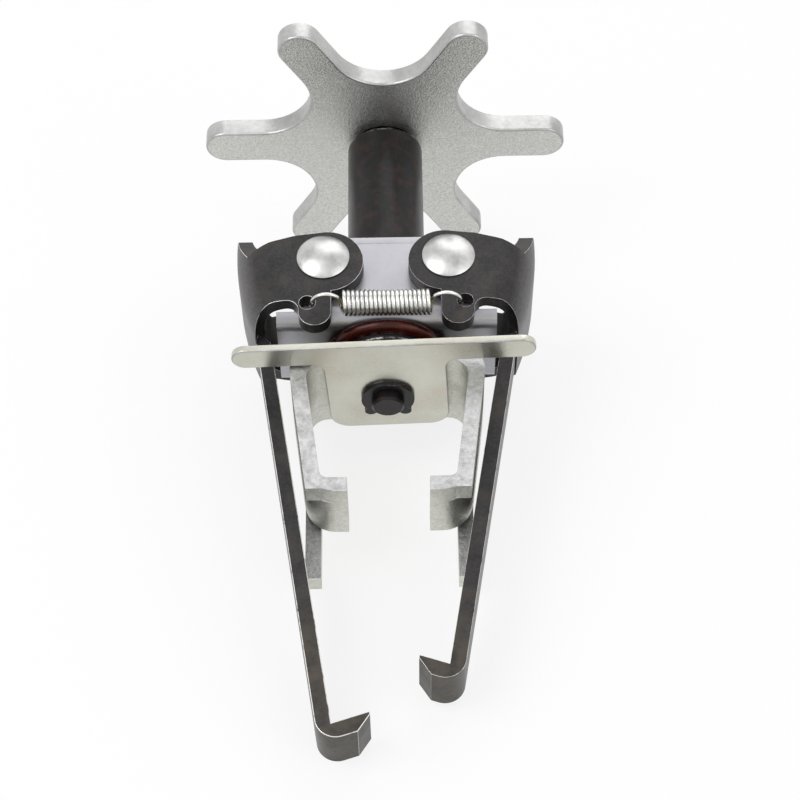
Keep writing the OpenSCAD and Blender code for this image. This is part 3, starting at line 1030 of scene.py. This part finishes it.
@dataclass
class Press:
    """The screw, the fork and the clip that move along the axis, and the wing plate on them."""

    body: str = "press"
    wing_body: str = "wing"
    fork_edge: float = 0.3 * MM
    clip_edge: float = 0.07 * MM
    wing_edge: float = 0.3 * MM
    wing_segments: int = 3
    sheared_from: float = 0.9

    def build(self, tool: Tool, shop: MaterialShop) -> None:
        """Makes the moving press pieces.

        Args:
            tool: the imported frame.
            shop: where the finishes come from.
        """
        rim = shop.finish(ZINC_RIM)
        DressedPiece("press_fork", self.body, "zinc_fork", [shop.finish(FORK_PLATE), shop.finish(FORK_SHEAR)],
                     rim, self.fork_edge, face_rule=self._fork_face, reshape=ForkBends().ease).build(tool)
        ThreadedScrew().build(tool, shop, self.body)
        DressedPiece("retaining_clip", self.body, "black_oxide", [shop.finish(OXIDE_BLACK)],
                     shop.wear(OXIDE_WEAR), self.clip_edge).build(tool)
        DressedPiece("wing_plate", self.wing_body, "satin_plate", [shop.finish(WING_SATIN)], rim,
                     self.wing_edge, self.wing_segments).build(tool)

    def _fork_face(self, normal: Vector) -> int:
        """Tells the fork's plate faces, 0, from its sheared front and back edges, 1."""
        return 1 if abs(normal.y) > self.sheared_from else 0


@dataclass(frozen=True)
class Lamp:
    """A round soft lamp: its name, its place and width in metres, and its power in watts."""

    name: str
    at: tuple[float, float, float]
    width: float
    power: float


@dataclass
class Studio:
    """Pale floor, soft lamps, white surroundings and the camera.

    The camera's place is in millimetres from the tool's zero, along the tool's own axes.
    """

    focal_px: float = 2055.0
    frame_px: float = 800.0
    sensor_mm: float = 36.0
    near_clip: float = 10 * MM
    camera_at: tuple[float, float, float] = (2.35, -336.7, -243.1)
    look_up_deg: float = 33.0
    roll_deg: float = -0.9
    world_light: float = 0.6
    floor_half: float = 3.0
    floor_tone: float = 0.93
    floor_rough: float = 0.9
    floor_specular: float = 0.1
    floor_white: float = 0.8
    lamps: tuple[Lamp, ...] = (
        Lamp("key", (-0.35, -0.15, 0.55), 0.45, 1.5),
        Lamp("fill", (0.45, -0.3, 0.4), 0.5, 0.7),
        Lamp("back", (0.1, 0.5, 0.45), 0.6, 1.1),
    )

    def build(self, tool: Tool) -> None:
        """Sets the world, the floor, the lamps and the camera.

        Args:
            tool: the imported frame.
        """
        self._world()
        self._floor()
        for lamp in self.lamps:
            self._hang(lamp, tool)
        self._camera(tool)
        bpy.context.scene.view_settings.view_transform = "Standard"

    def _camera(self, tool: Tool) -> None:
        """Puts the camera at the photograph's view.

        Args:
            tool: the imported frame.
        """
        data = bpy.data.cameras.new("camera")
        data.sensor_width = self.sensor_mm
        data.sensor_fit = "HORIZONTAL"
        data.lens = self.focal_px / self.frame_px * self.sensor_mm
        data.clip_start = self.near_clip
        camera = add_object("camera", data)
        rise = math.radians(self.look_up_deg)
        roll = math.radians(self.roll_deg)
        ahead = tool.turn(0.0, math.cos(rise), math.sin(rise))
        level = tool.across
        upright = level.cross(ahead)
        right = level * math.cos(roll) + upright * math.sin(roll)
        up = upright * math.cos(roll) - level * math.sin(roll)
        at = tool.place(*(value * MM for value in self.camera_at))
        columns = (right, up, -ahead)
        rows = [[column[row] for column in columns] + [at[row]] for row in range(3)]
        camera.matrix_world = Matrix((*rows, (0.0, 0.0, 0.0, 1.0)))
        bpy.context.scene.camera = camera

    @staticmethod
    def _seen_rays(tree: bpy.types.NodeTree, share: float) -> Socket:
        """Tells the rays that see the background: straight ones, and those off or through the tool.

        Args:
            tree: the tree of the world or of the floor's material.
            share: the value for such a ray.

        Returns:
            The share for such a ray, else zero.
        """
        path = tree.nodes.new("ShaderNodeLightPath")
        value = path.outputs["Is Camera Ray"]
        for ray in ("Is Glossy Ray", "Is Transmission Ray"):
            either = tree.nodes.new("ShaderNodeMath")
            either.operation = "MAXIMUM"
            tree.links.new(value, either.inputs[0])
            tree.links.new(path.outputs[ray], either.inputs[1])
            value = either.outputs["Value"]
        scaled = tree.nodes.new("ShaderNodeMath")
        scaled.operation = "MULTIPLY"
        scaled.inputs[1].default_value = share
        tree.links.new(value, scaled.inputs[0])
        return scaled.outputs["Value"]

    @staticmethod
    def _join(tree: bpy.types.NodeTree, factor: Socket, shaders: tuple[Socket, Socket],
              surface: Socket) -> None:
        """Mixes two shaders into a surface.

        Args:
            tree: the tree they are in.
            factor: how much of the second shader shows.
            shaders: the two shaders.
            surface: the output's socket.
        """
        mix = tree.nodes.new("ShaderNodeMixShader")
        tree.links.new(factor, mix.inputs["Fac"])
        for shader, socket in zip(shaders, mix.inputs[1:]):
            tree.links.new(shader, socket)
        tree.links.new(mix.outputs["Shader"], surface)

    def _world(self) -> None:
        """Makes soft surroundings that the camera and the metal see as white."""
        world = bpy.data.worlds.new("surroundings")
        bpy.context.scene.world = world
        world.use_nodes = True
        tree = world.node_tree
        lit = tree.nodes["Background"]
        seen = tree.nodes.new("ShaderNodeBackground")
        for background, strength in ((lit, self.world_light), (seen, 1.0)):
            background.inputs["Color"].default_value = (1.0, 1.0, 1.0, 1.0)
            background.inputs["Strength"].default_value = strength
        self._join(tree, self._seen_rays(tree, 1.0), (lit.outputs["Background"], seen.outputs["Background"]),
                   tree.nodes["World Output"].inputs["Surface"])

    def _floor(self) -> None:
        """Lays a pale floor under the tool."""
        half = self.floor_half
        corners = [(-half, -half, 0.0), (half, -half, 0.0), (half, half, 0.0), (-half, half, 0.0)]
        mesh = bpy.data.meshes.new("floor")
        mesh.from_pydata(corners, [], [(0, 1, 2, 3)])
        material = bpy.data.materials.new("pale_floor")
        material.use_nodes = True
        tree = material.node_tree
        shader = tree.nodes["Principled BSDF"]
        shader.inputs["Base Color"].default_value = (self.floor_tone, self.floor_tone, self.floor_tone, 1.0)
        shader.inputs["Roughness"].default_value = self.floor_rough
        shader.inputs["Specular IOR Level"].default_value = self.floor_specular
        white = tree.nodes.new("ShaderNodeEmission")
        white.inputs["Strength"].default_value = 1.0
        self._join(tree, self._seen_rays(tree, self.floor_white),
                   (shader.outputs["BSDF"], white.outputs["Emission"]),
                   tree.nodes["Material Output"].inputs["Surface"])
        mesh.materials.append(material)
        floor = add_object("floor", mesh)

    @staticmethod
    def _hang(lamp: Lamp, tool: Tool) -> None:
        """Hangs a large soft lamp that shines on the tool.

        Args:
            lamp: the lamp to hang.
            tool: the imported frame.
        """
        data = bpy.data.lights.new(lamp.name, "AREA")
        data.shape = "DISK"
        data.size = lamp.width
        data.energy = lamp.power
        hung = add_object(lamp.name, data)
        hung.location = lamp.at
        hung.rotation_euler = (tool.zero - Vector(lamp.at)).to_track_quat("-Z", "Y").to_euler()


def main() -> None:
    """Builds the tool's looks in order."""
    logging.basicConfig(level=logging.INFO)
    tool = Tool(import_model())
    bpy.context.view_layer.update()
    shop = MaterialShop()
    HandNut().build(tool, shop)
    Carrier().build(tool, shop)
    for side in Side:
        Jaw(side).build(tool, shop)
    TensionSpring().build(tool, shop)
    Press().build(tool, shop)
    Studio().build(tool)


if __name__ == "__main__":
    main()
